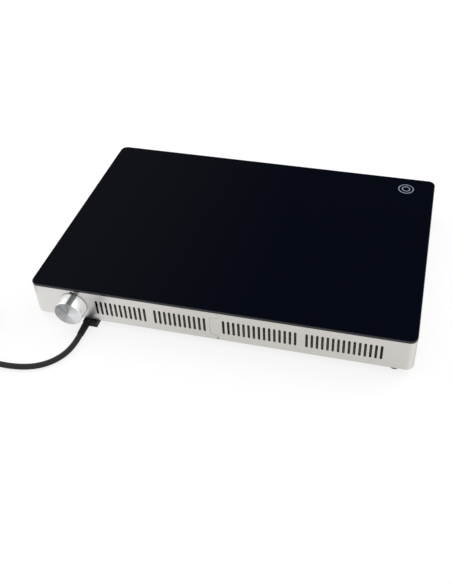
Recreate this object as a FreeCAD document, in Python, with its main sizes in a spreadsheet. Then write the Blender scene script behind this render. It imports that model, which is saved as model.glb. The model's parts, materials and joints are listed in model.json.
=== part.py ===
import FreeCAD, Part
import math
import os
import re
import Sketcher

# Electric food warmer tray: a black glass hot plate on a slotted steel housing.
# Millimetres, +Z up. The origin is on the table, at the middle of the housing and its knob.
# The long side lies along X, and the front, with the knob, faces -Y.

doc = FreeCAD.newDocument("food_warmer_tray")
sheet = doc.addObject("Spreadsheet::Sheet", "Sizes")

sizes = {
    "body_width": 532.5, "body_depth": 360.0, "corner_radius": 11.0,
    "glass_thickness": 3.0, "glass_arris": 0.8, "seal_thickness": 0.3, "seal_width": 9.0,
    "band_height": 51.0, "band_thickness": 1.0, "bend_radius": 3.0, "flange_width": 22.0,
    "ground_gap": 9.0,
    "slot_width": 3.5, "slot_length": 24.6, "slot_height": 26.7, "pitches_across": 76.07,
    "row_one": 13.71, "row_two": 25.87, "row_three": 39.69, "row_four": 55.87,
    "short_row_count": 11, "long_row_count": 15,
    "seam_row": 38.46, "seam_gap": 0.3, "tab_reach": 10.4, "tab_low": 10.6, "tab_high": 42.0,
    "tab_corner": 3.5, "hook_radius": 4.0, "hook_offset": 1.5, "relief_hole": 1.2,
    "strap_width": 20.0, "strap_thickness": 1.0, "strap_margin": 5.0,
    "frame_ledge": 14.0, "frame_leg": 6.0, "frame_thickness": 1.0,
    "spreader_inset": 18.0, "spreader_thickness": 1.5,
    "element_radius": 3.25, "element_runs": 6, "element_spacing": 46.0, "element_half_length": 205.0,
    "clamp_width": 15.0, "clamp_thickness": 1.5, "clamp_spacing": 150.0, "clamp_post_radius": 3.0,
    "pad_inset": 30.0, "pad_thickness": 8.0, "shield_thickness": 1.0, "shield_rim": 6.0,
    "shield_clearance": 0.5,
    "base_inset": 4.0, "base_thickness": 1.0, "vent_width": 4.0, "vent_length": 40.0,
    "vent_pitch": 18.0, "vent_count": 6, "vent_inset_x": 136.0, "vent_offset_y": 70.0,
    "post_radius": 4.5, "post_inset_x": 81.25, "post_inset_y": 65.0,
    "foot_radius": 8.0, "foot_taper": 0.8, "foot_inset_x": 25.0, "foot_inset_y": 15.0,
    "foot_recess_radius": 4.2, "foot_recess_depth": 5.0,
    "screw_radius": 1.95, "screw_clearance": 0.15, "screw_head_radius": 3.4, "screw_head_height": 2.0,
    "screw_length": 8.0, "flange_screw_x": 120.0,
    "knob_inset": 61.3, "knob_height": 26.3, "knob_radius": 19.6, "knob_length": 20.2, "knob_gap": 0.8,
    "knob_chamfer": 0.7, "knob_wall": 2.2, "knob_face": 4.2, "hub_radius": 8.0, "hub_disc": 2.0,
    "knob_fit": 0.1, "set_screw_radius": 2.0, "hub_gap": 1.0,
    "spindle_radius": 3.0, "running_clearance": 0.05, "spindle_flat": 0.9, "spindle_end_gap": 0.3,
    "bush_radius": 4.9, "bush_reach": 7.0, "panel_hole_clearance": 0.1,
    "thermostat_width": 34.0, "thermostat_depth": 24.0, "thermostat_height": 34.0,
    "thermostat_screw_offset": 14.0,
    "lamp_height": 46.9, "lamp_radius": 2.4, "lens_radius": 2.9, "lens_dome": 0.5,
    "lamp_body_radius": 3.0, "lamp_body_length": 15.0, "lamp_notch": 14.0, "lamp_notch_depth": 32.0,
    "bulb_radius": 3.0, "bulb_length": 70.0, "capillary_radius": 0.8,
    "cutout_radius": 8.0, "cutout_height": 5.0,
    "gland_left": 72.0, "gland_width": 20.5, "gland_front": 5.0, "gland_back": 32.0,
    "gland_ground_gap": 0.8, "gland_boss_width": 17.0, "gland_boss_length": 8.0, "gland_boss_height": 4.0,
    "gland_hole_clearance": 0.3,
    "cord_inset": 77.0, "relief_radius": 5.2, "relief_tip_radius": 4.6, "relief_length": 22.0,
    "cord_radius": 4.0,
    "coil_radius": 53.0, "coil_pitch": 8.8, "coil_turns": 4.25, "coil_tail": 36.0, "coil_lift": 0.25,
    "coil_offset_x": 183.75, "coil_offset_y": 14.35, "coil_lead": 26.0,
    "plug_width": 44.0, "plug_length": 38.0, "plug_neck": 14.0, "plug_neck_radius": 6.5,
    "plug_edge": 6.0, "pin_radius": 2.0, "pin_length": 19.0, "pin_spacing": 9.5,
    "wire_radius": 1.3, "block_width": 40.0, "block_depth": 18.0, "block_height": 16.0,
    "block_gap": 35.0, "block_back": 45.0, "stud_inset": 81.25, "stud_radius": 2.5,
    "stud_head_radius": 4.5, "stud_length": 12.0,
}

places = {
    "knob_reach": "knob_gap + knob_length",
    "front_y": "(knob_reach - body_depth) / 2",
    "middle_y": "knob_reach / 2",
    "band_top": "ground_gap + band_height",
    "glass_base": "band_top + seal_thickness",
    "flange_top": "ground_gap + band_thickness",
    "base_top": "flange_top + base_thickness",
    "spreader_base": "glass_base - spreader_thickness",
    "element_z": "spreader_base - element_radius",
    "clamp_top": "element_z - element_radius",
    "pad_top": "clamp_top - clamp_thickness",
    "pad_base": "pad_top - pad_thickness",
    "shield_base": "pad_base - shield_thickness",
    "knob_x": "knob_inset - body_width / 2",
    "knob_z": "ground_gap + knob_height",
    "lamp_z": "ground_gap + lamp_height",
    "inner_y": "front_y + band_thickness",
    "knob_back_y": "front_y - knob_gap",
    "knob_front_y": "front_y - knob_gap - knob_length",
    "recess_radius": "knob_radius - knob_wall",
    "recess_depth": "knob_length - knob_face",
    "slot_pitch": "body_width / pitches_across",
    "seam_x": "seam_row * slot_pitch - body_width / 2",
    "gland_x": "gland_left - body_width / 2",
    "cord_x": "cord_inset - body_width / 2",
    "relief_y": "front_y - gland_front",
    "exit_y": "front_y - gland_front - relief_length",
    "foot_x": "body_width / 2 - foot_inset_x",
    "foot_back_y": "body_depth / 2 - foot_inset_y",
    "bulb_z": "spreader_base - bulb_radius",
    "post_x": "body_width / 2 - post_inset_x",
    "post_y": "body_depth / 2 - post_inset_y",
    "vent_x": "body_width / 2 - vent_inset_x",
    "stud_x": "stud_inset - body_width / 2",
    "block_x": "stud_x + block_gap",
    "coil_x": "cord_x - coil_offset_x",
    "coil_y": "exit_y - coil_offset_y",
}

# Where the free cord bends on the table, in X and Y from the end of its strain relief.
cord_bends = [(0, -20), (-7.5, -42.8), (-23.6, -60.6), (-46.4, -70.8), (-80.2, -74.4), (-121.9, -69.3)]

for row, (alias, value) in enumerate(sizes.items(), start=1):
    sheet.set(f"A{row}", alias)
    sheet.set(f"B{row}", str(value))
    sheet.setAlias(f"B{row}", alias)
for row, (alias, formula) in enumerate(places.items(), start=1):
    sheet.set(f"D{row}", alias)
    sheet.set(f"E{row}", "=" + formula)
    sheet.setAlias(f"E{row}", alias)
doc.recompute()

known = set(sizes) | set(places)
nodes = []


def size(alias):
    return float(sheet.get(alias))


def refer(text):
    return re.sub(r"[a-z][a-z_]*", lambda word: "Sizes." + word[0] if word[0] in known else word[0], text)


def bind(item, **values):
    for name, text in values.items():
        item.setExpression(name, refer(text))


def place(item, x="0", y="0", z="0"):
    for axis, text in (("x", x), ("y", y), ("z", z)):
        item.setExpression("Placement.Base." + axis, refer(text))


def turn(item, axis, angle):
    item.Placement.Rotation = FreeCAD.Rotation(FreeCAD.Vector(*axis), angle)


def keep(item, label):
    item.Label = label
    nodes.append(item)
    return item


def box(name, width, depth, height, x="0", y="0", z="0"):
    # A box centred on x and y, standing on z.
    item = doc.addObject("Part::Box", name)
    bind(item, Length=width, Width=depth, Height=height)
    place(item, f"{x} - ({width}) / 2", f"{y} - ({depth}) / 2", z)
    return item


def rod(name, radius, length, x="0", y="0", z="0", along="z"):
    # A cylinder that starts at the point given and runs up, or forwards along -Y.
    item = doc.addObject("Part::Cylinder", name)
    bind(item, Radius=radius, Height=length)
    if along == "front":
        turn(item, (1, 0, 0), 90)
    if along == "x":
        turn(item, (0, 1, 0), 90)
    place(item, x, y, z)
    return item


def cone(name, low, high, length, x="0", y="0", z="0", along="z"):
    item = doc.addObject("Part::Cone", name)
    bind(item, Radius1=low, Radius2=high, Height=length)
    if along == "front":
        turn(item, (1, 0, 0), 90)
    place(item, x, y, z)
    return item


def fuse(name, items):
    item = doc.addObject("Part::MultiFuse", name)
    item.Shapes = items
    return item


def group(name, items):
    # Separate solids that share one node.
    item = doc.addObject("Part::Compound", name)
    item.Links = items
    return item


def cut(name, base, tools):
    item = doc.addObject("Part::Cut", name)
    item.Base = base
    item.Tool = tools[0] if len(tools) == 1 else fuse(name + "_tools", tools)
    return item


def new_body(name):
    return doc.addObject("PartDesign::Body", name)


def new_sketch(body, name, role, offset="0"):
    sketch = body.newObject("Sketcher::SketchObject", name)
    planes = [plane for plane in body.Origin.OriginFeatures if plane.Role == role]
    sketch.AttachmentSupport = [(planes[0], "")]
    sketch.MapMode = "FlatFace"
    sketch.setExpression("AttachmentOffset.Base.z", refer(offset))
    return sketch


def limit(sketch, name, text, *constraint):
    index = sketch.addConstraint(Sketcher.Constraint(*constraint))
    sketch.renameConstraint(index, name)
    sketch.setExpression("Constraints." + name, refer(text))


def value_of(text):
    probe = doc.getObject("Probe") or doc.addObject("Part::Vertex", "Probe")
    probe.setExpression("X", refer(text))
    probe.recompute()
    return float(probe.X)


def rounded_outline(sketch, width, depth, radius, x="0", y="0", tag="Outer"):
    # A rectangle with four equal corner arcs, centred on x and y of the sketch.
    half_w = value_of(width) / 2
    half_d = value_of(depth) / 2
    r = value_of(radius)
    cx = value_of(x)
    cy = value_of(y)
    corners = [(cx + half_w - r, cy - half_d + r, 270), (cx + half_w - r, cy + half_d - r, 0),
               (cx - half_w + r, cy + half_d - r, 90), (cx - half_w + r, cy - half_d + r, 180)]
    arcs = []
    for ax, ay, start in corners:
        circle = Part.Circle(FreeCAD.Vector(ax, ay, 0), FreeCAD.Vector(0, 0, 1), r)
        begin = math.radians(start)
        arcs.append(sketch.addGeometry(Part.ArcOfCircle(circle, begin, begin + math.pi / 2)))
    sides = []
    for number in range(4):
        first = sketch.getPoint(arcs[number], 2)
        second = sketch.getPoint(arcs[(number + 1) % 4], 1)
        sides.append(sketch.addGeometry(Part.LineSegment(first, second)))
    for number in range(4):
        following = arcs[(number + 1) % 4]
        sketch.addConstraint(Sketcher.Constraint("Tangent", arcs[number], 2, sides[number], 1))
        sketch.addConstraint(Sketcher.Constraint("Tangent", sides[number], 2, following, 1))
        kind = "Vertical" if number % 2 == 0 else "Horizontal"
        sketch.addConstraint(Sketcher.Constraint(kind, sides[number]))
        if number:
            sketch.addConstraint(Sketcher.Constraint("Equal", arcs[0], arcs[number]))
    limit(sketch, tag + "Radius", radius, "Radius", arcs[0], r)
    limit(sketch, tag + "Width", width, "DistanceX", sides[2], 1, sides[0], 1, 2 * half_w)
    limit(sketch, tag + "Depth", depth, "DistanceY", sides[3], 1, sides[1], 1, 2 * half_d)
    right = f"({x}) + ({width}) / 2"
    back = f"({y}) + ({depth}) / 2"
    limit(sketch, tag + "Right", right, "DistanceX", -1, 1, sides[0], 1, cx + half_w)
    limit(sketch, tag + "Back", back, "DistanceY", -1, 1, sides[1], 1, cy + half_d)


def circle_outline(sketch, radius, x, y, tag):
    centre = FreeCAD.Vector(value_of(x), value_of(y), 0)
    index = sketch.addGeometry(Part.Circle(centre, FreeCAD.Vector(0, 0, 1), value_of(radius)))
    limit(sketch, tag + "Radius", radius, "Radius", index, value_of(radius))
    limit(sketch, tag + "X", x, "DistanceX", -1, 1, index, 3, centre.x)
    limit(sketch, tag + "Y", y, "DistanceY", -1, 1, index, 3, centre.y)


def slot_outline(sketch, width, length, x, y):
    # An upright slot with round ends, centred on x and y of the sketch.
    r = value_of(width) / 2
    reach = value_of(length) / 2 - r
    cx = value_of(x)
    cy = value_of(y)
    up = FreeCAD.Vector(0, 0, 1)
    high = Part.Circle(FreeCAD.Vector(cx, cy + reach, 0), up, r)
    top = sketch.addGeometry(Part.ArcOfCircle(high, 0, math.pi))
    low = Part.Circle(FreeCAD.Vector(cx, cy - reach, 0), up, r)
    low = sketch.addGeometry(Part.ArcOfCircle(low, math.pi, 2 * math.pi))
    left = sketch.addGeometry(Part.LineSegment(sketch.getPoint(top, 2), sketch.getPoint(low, 1)))
    right = sketch.addGeometry(Part.LineSegment(sketch.getPoint(low, 2), sketch.getPoint(top, 1)))
    for first, second in ((top, left), (left, low), (low, right), (right, top)):
        sketch.addConstraint(Sketcher.Constraint("Tangent", first, 2, second, 1))
    sketch.addConstraint(Sketcher.Constraint("Vertical", left))
    limit(sketch, "SlotRadius", f"({width}) / 2", "Radius", top, r)
    limit(sketch, "SlotReach", f"({length}) - ({width})", "DistanceY", low, 3, top, 3, 2 * reach)
    limit(sketch, "SlotX", x, "DistanceX", -1, 1, top, 3, cx)
    limit(sketch, "SlotY", f"({y}) + (({length}) - ({width})) / 2", "DistanceY", -1, 1, top, 3, cy + reach)


def pad(body, sketch, length):
    item = body.newObject("PartDesign::Pad", sketch.Name + "_pad")
    item.Profile = sketch
    bind(item, Length=length)
    return item


def pocket(body, sketch, depth, backwards=False):
    before = body.Shape.Volume
    item = body.newObject("PartDesign::Pocket", sketch.Name + "_pocket")
    item.Profile = sketch
    item.Reversed = backwards
    bind(item, Length=depth)
    doc.recompute()
    if item.Shape.Volume >= before:
        raise ValueError(sketch.Name + " removes nothing")
    return item


def repeat(body, feature, direction, spacing, count):
    item = body.newObject("PartDesign::LinearPattern", feature.Name + "_row")
    item.Originals = [feature]
    item.Direction = direction
    item.Mode = "Spacing"
    bind(item, Offset=spacing, Occurrences=count)
    body.Tip = item
    doc.recompute()
    return item


def edges_where(shape, test):
    return [f"Edge{number}" for number, edge in enumerate(shape.Edges, start=1) if test(edge)]


def soften(body, feature, kind, text, test):
    doc.recompute()
    item = body.newObject("PartDesign::" + kind, feature.Name + "_" + kind.lower())
    item.Base = (feature, edges_where(feature.Shape, test))
    bind(item, **{"Radius" if kind == "Fillet" else "Size": text})
    return item


def at_height(height):
    return lambda edge: max(abs(point.z - height) for point in (edge.valueAt(edge.FirstParameter),
                            edge.valueAt(edge.LastParameter))) < 0.001


# Glass top: a black plate with ground arrises on both faces.
glass = new_body("glass_body")
sketch = new_sketch(glass, "glass_outline", "XY_Plane", "glass_base")
rounded_outline(sketch, "body_width", "body_depth", "corner_radius", "0", "middle_y")
plate = pad(glass, sketch, "glass_thickness")
doc.recompute()
top_z = size("glass_base") + size("glass_thickness")
plate = soften(glass, plate, "Chamfer", "glass_arris", at_height(top_z))
soften(glass, plate, "Chamfer", "glass_arris / 3", at_height(size("glass_base")))
keep(glass, "glass_top")

# Silicone bond between the glass and the top of the band and its frame.
seal = new_body("seal_body")
sketch = new_sketch(seal, "seal_outline", "XY_Plane", "band_top")
rounded_outline(sketch, "body_width - 2 * glass_arris / 3", "body_depth - 2 * glass_arris / 3",
                "corner_radius - glass_arris / 3", "0", "middle_y")
rounded_outline(sketch, "body_width - 2 * seal_width", "body_depth - 2 * seal_width", "corner_radius / 3",
                "0", "middle_y", "Inner")
pad(seal, sketch, "seal_thickness")
keep(seal, "glass_seal")

# Side band: one steel strip bent round, with a flange turned in at the bottom.
band = new_body("band_body")
sketch = new_sketch(band, "band_outline", "XY_Plane", "ground_gap")
rounded_outline(sketch, "body_width", "body_depth", "corner_radius", "0", "middle_y")
shell = pad(band, sketch, "band_height")
shell = soften(band, shell, "Fillet", "bend_radius", at_height(size("ground_gap")))
sketch = new_sketch(band, "band_hollow", "XY_Plane", "band_top")
rounded_outline(sketch, "body_width - 2 * band_thickness", "body_depth - 2 * band_thickness",
                "corner_radius - band_thickness", "0", "middle_y")
shell = pocket(band, sketch, "band_height - band_thickness")
inner_floor = size("flange_top")
shell = soften(band, shell, "Fillet", "bend_radius - band_thickness",
               lambda edge: at_height(inner_floor)(edge))
doc.recompute()
sketch = new_sketch(band, "flange_opening", "XY_Plane", "flange_top")
rounded_outline(sketch, "body_width - 2 * flange_width", "body_depth - 2 * flange_width",
                "corner_radius / 2", "0", "middle_y")
pocket(band, sketch, "2 * band_thickness")

# Four rows of vent slots through the front wall, seen from the front.
slot_rows = (("one", "short_row_count"), ("two", "short_row_count"),
             ("three", "long_row_count"), ("four", "long_row_count"))
for name, count in slot_rows:
    sketch = new_sketch(band, "slot_" + name, "XZ_Plane", "-front_y")
    slot_outline(sketch, "slot_width", "slot_length", f"row_{name} * slot_pitch - body_width / 2",
                 "ground_gap + slot_height")
    first = pocket(band, sketch, "2 * band_thickness")
    repeat(band, first, (sketch, ["H_Axis"]), "slot_pitch", count)

# Holes in the front wall for the thermostat's bush and screws, and for the lamp.
sketch = new_sketch(band, "panel_holes", "XZ_Plane", "-front_y")
circle_outline(sketch, "bush_radius + panel_hole_clearance", "knob_x", "knob_z", "Bush")
for side, name in (("-", "Left"), ("+", "Right")):
    circle_outline(sketch, "screw_radius + screw_clearance", f"knob_x {side} thermostat_screw_offset",
                   "knob_z", name)
circle_outline(sketch, "lamp_radius + panel_hole_clearance", "knob_x", "lamp_z", "Lamp")
pocket(band, sketch, "2 * band_thickness")

# Screw holes in the flange, for the feet and for the base plate.
foot_places = [(side_x, side_y) for side_x in ("", "-") for side_y in ("", "-")]
flange_places = [(f"{side_x}flange_screw_x", side_y) for side_x in ("", "-") for side_y in ("", "-")]


def flange_holes(body, name, level, depth):
    sketch = new_sketch(body, name, "XY_Plane", level)
    for number, (side_x, side_y) in enumerate(foot_places):
        circle_outline(sketch, "screw_radius + screw_clearance", f"{side_x}foot_x",
                       f"middle_y {side_y or '+'} foot_back_y", f"Foot{number}")
    for number, (x, side_y) in enumerate(flange_places):
        circle_outline(sketch, "screw_radius + screw_clearance", x,
                       f"middle_y {side_y or '+'} foot_back_y", f"Screw{number}")
    return pocket(body, sketch, depth)


flange_holes(band, "flange_holes", "flange_top", "2 * band_thickness")
doc.recompute()

# The strip's two ends lock like a jigsaw: a tab of the right end reaches into the left end.
def seam_path():
    x = size("seam_x")
    low = size("ground_gap")
    left = x - size("tab_reach")
    bottom = low + size("tab_low")
    top = low + size("tab_high")
    crown = size("band_top") + 1
    r = size("tab_corner")
    hook = size("hook_radius")
    y = size("front_y") - 1

    def point(spot):
        return FreeCAD.Vector(spot[0], y, spot[1])

    def arc(first, middle, last):
        return Part.Arc(point(first), point(middle), point(last)).toShape()

    def line(first, last):
        return Part.LineSegment(point(first), point(last)).toShape()

    slant = math.sqrt(0.5)
    flare = size("tab_low") / 2
    hook_x = x - size("hook_offset")

    def on_hook(degrees):
        angle = math.radians(degrees)
        return hook_x + hook * math.cos(angle), top + hook + hook * math.sin(angle)

    hook_start = on_hook(60)
    crown_x = hook_start[0] - (crown - hook_start[1]) * math.tan(math.radians(60))
    return Part.Wire([
        line((crown_x, crown), hook_start),
        arc(hook_start, on_hook(-15), (hook_x, top)),
        line((hook_x, top), (left + r, top)),
        arc((left + r, top), (left + r - r * slant, top - r + r * slant), (left, top - r)),
        line((left, top - r), (left, bottom + r)),
        arc((left, bottom + r), (left + r - r * slant, bottom + r - r * slant), (left + r, bottom)),
        line((left + r, bottom), (x - flare, bottom)),
        arc((x - flare, bottom), (x - flare + flare * slant, bottom - flare + flare * slant),
            (x, bottom - flare)),
        line((x, bottom - flare), (x, low - 1)),
    ])


slit_face = seam_path().makeOffset2D(size("seam_gap"), join=0, fill=True, openResult=True)
slit = doc.addObject("Part::Feature", "seam_slit")
slit.Shape = slit_face.extrude(FreeCAD.Vector(0, size("band_thickness") + 1 + size("bend_radius"), 0))
flange_slit = box("flange_slit", "seam_gap", "flange_width", "2 * band_thickness", "seam_x + seam_gap / 2",
                  "front_y + flange_width / 2 + bend_radius", "ground_gap - band_thickness / 2")
relief_bore = rod("seam_relief_bore", "relief_hole", "3 * band_thickness", "seam_x",
                  "inner_y + band_thickness", "ground_gap + bend_radius + relief_hole", "front")
keep(cut("band_with_seam", band, [slit, flange_slit, relief_bore]), "side_band")

# Backing strap, welded behind the seam.
strap = box("strap", "strap_width", "strap_thickness", "band_height - 2 * strap_margin - frame_leg",
            "seam_x - tab_reach / 2", "inner_y + strap_thickness / 2", "flange_top + strap_margin")
keep(strap, "seam_strap")

# Angle frame behind the top of the band, which carries the glass.
frame = new_body("frame_body")
sketch = new_sketch(frame, "frame_outline", "XY_Plane", "band_top - frame_leg")
rounded_outline(sketch, "body_width - 2 * band_thickness", "body_depth - 2 * band_thickness",
                "corner_radius - band_thickness", "0", "middle_y")
pad(frame, sketch, "frame_leg")
doc.recompute()
sketch = new_sketch(frame, "frame_hollow", "XY_Plane", "band_top - frame_thickness")
rounded_outline(sketch, "body_width - 2 * band_thickness - 2 * frame_thickness",
                "body_depth - 2 * band_thickness - 2 * frame_thickness",
                "corner_radius - band_thickness - frame_thickness", "0", "middle_y")
pocket(frame, sketch, "frame_leg")
sketch = new_sketch(frame, "frame_opening", "XY_Plane", "band_top")
rounded_outline(sketch, "body_width - 2 * frame_ledge", "body_depth - 2 * frame_ledge",
                "corner_radius / 3", "0", "middle_y")
pocket(frame, sketch, "frame_leg")
sketch = new_sketch(frame, "lamp_notch", "XY_Plane", "band_top")
rounded_outline(sketch, "lamp_notch", "lamp_notch_depth", "screw_clearance", "knob_x", "inner_y")
pocket(frame, sketch, "2 * frame_leg")
keep(frame, "glass_frame")

# Aluminium plate bonded under the glass, which spreads the heat.
spreader = new_body("spreader_body")
sketch = new_sketch(spreader, "spreader_outline", "XY_Plane", "spreader_base")
rounded_outline(sketch, "body_width - 2 * spreader_inset", "body_depth - 2 * spreader_inset",
                "corner_radius / 2", "0", "middle_y")
pad(spreader, sketch, "spreader_thickness")
keep(spreader, "heat_spreader")


def sweep(name, path, radius):
    # A round tube along a path of tangent lines and arcs.
    start = path.OrderedVertexes[0].Point
    tangent = path.OrderedEdges[0].tangentAt(path.OrderedEdges[0].FirstParameter)
    if path.OrderedEdges[0].valueAt(path.OrderedEdges[0].FirstParameter).distanceToPoint(start) > 0.001:
        tangent = path.OrderedEdges[0].tangentAt(path.OrderedEdges[0].LastParameter).negative()
    ring = Part.Wire([Part.makeCircle(radius, start, tangent)])
    item = doc.addObject("Part::Feature", name)
    item.Shape = path.makePipeShell([ring], True, False)
    expected = math.pi * radius ** 2 * path.Length
    share = item.Shape.Volume / expected
    print(f"{name}: length {path.Length:.0f} mm, volume {share:.4f} of section times length")
    return item


# Tubular heating element: straight runs along X joined by half turns, held under the spreader.
def element_path():
    spacing = size("element_spacing")
    runs = int(size("element_runs"))
    half = size("element_half_length")
    z = size("element_z")
    first = size("middle_y") - spacing * (runs - 1) / 2
    pieces = []
    for number in range(runs):
        y = first + number * spacing
        side = 1 if number % 2 == 0 else -1
        start = FreeCAD.Vector(-side * half, y, z)
        end = FreeCAD.Vector(side * half, y, z)
        pieces.append(Part.LineSegment(start, end).toShape())
        if number < runs - 1:
            middle = FreeCAD.Vector(side * (half + spacing / 2), y + spacing / 2, z)
            after = FreeCAD.Vector(side * half, y + spacing, z)
            pieces.append(Part.Arc(end, middle, after).toShape())
    return Part.Wire(pieces)


keep(sweep("element_tube", element_path(), size("element_radius")), "heating_element")

# Three straps under the element, each with two posts up to the spreader.
clamps = []
for number in (-1, 0, 1):
    x = f"{number} * clamp_spacing"
    bar = box(f"clamp_bar_{number + 1}", "clamp_width", "element_spacing * (element_runs - 1) + 20",
              "clamp_thickness", x, "middle_y", "pad_top")
    posts = [rod(f"clamp_post_{number + 1}_{index}", "clamp_post_radius",
                 "2 * element_radius + clamp_thickness / 2", x, f"middle_y + ({index}) * element_spacing",
                 "pad_top + clamp_thickness / 2") for index in (-1, 0, 1)]
    clamps.append(fuse(f"clamp_{number + 1}", [bar] + posts))
keep(group("clamp_group", clamps), "element_clamps")

# Insulation mat on a shallow metal tray.
mat = new_body("mat_body")
sketch = new_sketch(mat, "mat_outline", "XY_Plane", "pad_base")
rounded_outline(sketch, "body_width - 2 * pad_inset", "body_depth - 2 * pad_inset", "corner_radius / 2",
                "0", "middle_y")
pad(mat, sketch, "pad_thickness")
keep(mat, "insulation_mat")

shield = new_body("shield_body")
shield_width = "body_width - 2 * pad_inset + 2 * shield_clearance"
shield_depth = "body_depth - 2 * pad_inset + 2 * shield_clearance"
sketch = new_sketch(shield, "shield_outline", "XY_Plane", "shield_base")
rounded_outline(sketch, shield_width + " + 2 * shield_thickness", shield_depth + " + 2 * shield_thickness",
                "corner_radius / 2 + shield_thickness", "0", "middle_y")
pad(shield, sketch, "shield_rim")
doc.recompute()
sketch = new_sketch(shield, "shield_hollow", "XY_Plane", "shield_base + shield_rim")
rounded_outline(sketch, shield_width, shield_depth, "corner_radius / 2", "0", "middle_y")
pocket(shield, sketch, "shield_rim - shield_thickness")
keep(shield, "heat_shield")

# Base plate on the flange, with two rows of vents and a hole for the cord gland.
base = new_body("base_body")
sketch = new_sketch(base, "base_outline", "XY_Plane", "flange_top")
rounded_outline(sketch, "body_width - 2 * base_inset", "body_depth - 2 * base_inset",
                "corner_radius - base_inset", "0", "middle_y")
pad(base, sketch, "base_thickness")
doc.recompute()
for name, side_x, side_y in (("front_left", "-", "-"), ("front_right", "", "-"), ("back_left", "-", "+"),
                             ("back_right", "", "+")):
    sketch = new_sketch(base, "vent_" + name, "XY_Plane", "base_top")
    slot_outline(sketch, "vent_width", "vent_length",
                 f"{side_x}vent_x - vent_pitch * (vent_count - 1) / 2",
                 f"middle_y {side_y or '+'} vent_offset_y")
    first = pocket(base, sketch, "2 * base_thickness")
    repeat(base, first, (sketch, ["H_Axis"]), "vent_pitch", "vent_count")
sketch = new_sketch(base, "gland_hole", "XY_Plane", "base_top")
boss_x = "gland_x + gland_width / 2"
boss_y = "front_y + gland_back - gland_boss_length / 2"
rounded_outline(sketch, "gland_boss_width + 2 * gland_hole_clearance",
                "gland_boss_length + 2 * gland_hole_clearance", "gland_hole_clearance", boss_x, boss_y)
pocket(base, sketch, "2 * base_thickness")
flange_holes(base, "base_holes", "base_top", "2 * base_thickness")
sketch = new_sketch(base, "post_holes", "XY_Plane", "base_top")
post_places = [(f"{side_x}post_x", f"middle_y {side_y or '+'} post_y")
               for side_x in ("", "-") for side_y in ("", "-")]
for number, (x, y) in enumerate(post_places):
    circle_outline(sketch, "screw_radius + screw_clearance", x, y, f"Post{number}")
circle_outline(sketch, "stud_radius + screw_clearance", "stud_x", "front_y + block_back", "Stud")
pocket(base, sketch, "2 * base_thickness")
keep(base, "base_plate")

# Four spacers from the base plate up to the heat shield.
posts = []
for number, (x, y) in enumerate(post_places):
    post = rod(f"post_{number}", "post_radius", "shield_base - base_top", x, y, "base_top")
    bore = rod(f"post_bore_{number}", "screw_radius + screw_clearance", "screw_length", x, y, "base_top")
    posts.append(cut(f"spacer_{number}", post, [bore]))
keep(group("post_group", posts), "shield_spacers")


def screw(name, x, y, seat, length, along="z"):
    # A pan-head screw whose head lies under its seat, or before it, and whose shank goes in.
    if along == "z":
        head = rod(name + "_head", "screw_head_radius", "screw_head_height", x, y,
                   f"{seat} - screw_head_height")
        shank = rod(name + "_shank", "screw_radius", length, x, y, seat)
    else:
        head = rod(name + "_head", "screw_head_radius", "screw_head_height", x, seat, y, "front")
        shank = rod(name + "_shank", "screw_radius", length, x, f"{seat} + {length}", y, "front")
    return fuse(name, [head, shank])


post_screws = [screw(f"post_screw_{number}", x, y, "flange_top", "screw_length")
               for number, (x, y) in enumerate(post_places)]
keep(group("post_screw_group", post_screws), "spacer_screws")
flange_screws = [screw(f"flange_screw_{number}", x, f"middle_y {side_y or '+'} foot_back_y", "ground_gap",
                       "screw_length / 2") for number, (x, side_y) in enumerate(flange_places)]
keep(group("flange_screw_group", flange_screws), "base_screws")

# Rubber feet under the flange, each with a screw sunk in it.
foot_names = ("foot_back_right", "foot_front_right", "foot_back_left", "foot_front_left")
foot_screws = []
for name, (side_x, side_y) in zip(foot_names, foot_places):
    x = f"{side_x}foot_x"
    y = f"middle_y {side_y or '+'} foot_back_y"
    pad_shape = cone(name + "_pad", "foot_radius - foot_taper", "foot_radius", "ground_gap", x, y, "0")
    recess = rod(name + "_recess", "foot_recess_radius", "foot_recess_depth", x, y, "0")
    bore = rod(name + "_bore", "screw_radius + screw_clearance", "ground_gap", x, y, "0")
    keep(cut(name + "_cut", pad_shape, [recess, bore]), name)
    foot_screws.append(screw(name + "_screw", x, y, "foot_recess_depth", "screw_length"))
keep(group("foot_screw_group", foot_screws), "foot_screws")

# Thermostat behind the front wall, with a threaded bush through it.
case = box("thermostat_case", "thermostat_width", "thermostat_depth", "thermostat_height", "knob_x",
           "inner_y + thermostat_depth / 2", "knob_z - thermostat_height / 2")
case_holes = [rod(f"case_hole_{side}", "screw_radius + screw_clearance", "screw_length",
                  f"knob_x + ({side}) * thermostat_screw_offset", "inner_y + screw_length", "knob_z",
                  "front") for side in (-1, 1)]
keep(cut("thermostat_cut", case, case_holes), "thermostat_body")
bush = rod("bush_barrel", "bush_radius", "band_thickness + bush_reach", "knob_x", "inner_y", "knob_z",
           "front")
bush_bore = rod("bush_bore", "spindle_radius + running_clearance", "band_thickness + bush_reach", "knob_x",
                "inner_y", "knob_z", "front")
keep(cut("bush_cut", bush, [bush_bore]), "thermostat_bush")
panel_screws = [screw(f"panel_screw_{side + 1}", f"knob_x + ({side}) * thermostat_screw_offset", "knob_z",
                      "front_y", "screw_length / 2", "front") for side in (-1, 1)]
keep(group("panel_screw_group", panel_screws), "thermostat_screws")

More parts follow.
